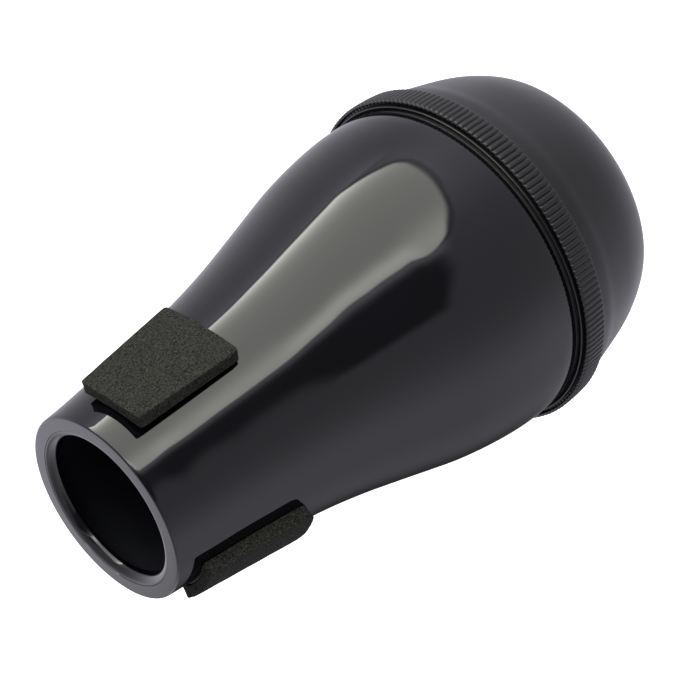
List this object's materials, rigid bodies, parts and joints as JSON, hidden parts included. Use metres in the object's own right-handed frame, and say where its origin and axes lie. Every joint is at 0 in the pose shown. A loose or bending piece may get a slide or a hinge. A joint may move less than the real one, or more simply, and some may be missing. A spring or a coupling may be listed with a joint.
{
  "type": "trombone straight mute",
  "caption": "Hollow flared plastic straight mute with an open neck, foam pads on the neck and a reeded screw cap that closes the wide end.",
  "frame": {"origin": "centre of the cap's flat end, where the mute stands on a table or floor", "axes": "+Z along the mute's axis from the wide capped end to the open neck; pad 1 is centred 42.5 degrees from -Y towards +X"},
  "size_m": [0.104, 0.104, 0.1774],
  "materials": {
    "gloss_black_plastic": "high gloss moulded ABS",
    "satin_black_plastic": "satin moulded ABS",
    "black_rubber": "soft, matt",
    "pad_foam": "fine closed-cell foam, matt",
    "adhesive_film": "thin double-sided film"
  },
  "bodies": {
    "shell": {"body_shell": "gloss_black_plastic", "foam_pad_1": "pad_foam", "foam_pad_2": "pad_foam", "foam_pad_3": "pad_foam", "adhesive_film_1": "adhesive_film", "adhesive_film_2": "adhesive_film", "adhesive_film_3": "adhesive_film"},
    "seal": {"sealing_ring": "black_rubber"},
    "cap": {"end_cap": "satin_black_plastic"}
  },
  "joints": [
    {"name": "cap_travel", "type": "slide", "parent": "shell", "child": "seal", "axis": [0, 0, -1], "range_m": [0, 0.0051]},
    {"name": "cap_turn", "type": "hinge", "parent": "seal", "child": "cap", "pos_m": [0, 0, 0.042], "axis": [0, 0, -1], "range_deg": [0, 450]}
  ],
  "couplings": [
    {"joint": "cap_travel", "follows": "cap_turn", "m_per_rad": 0.00063662}
  ]
}
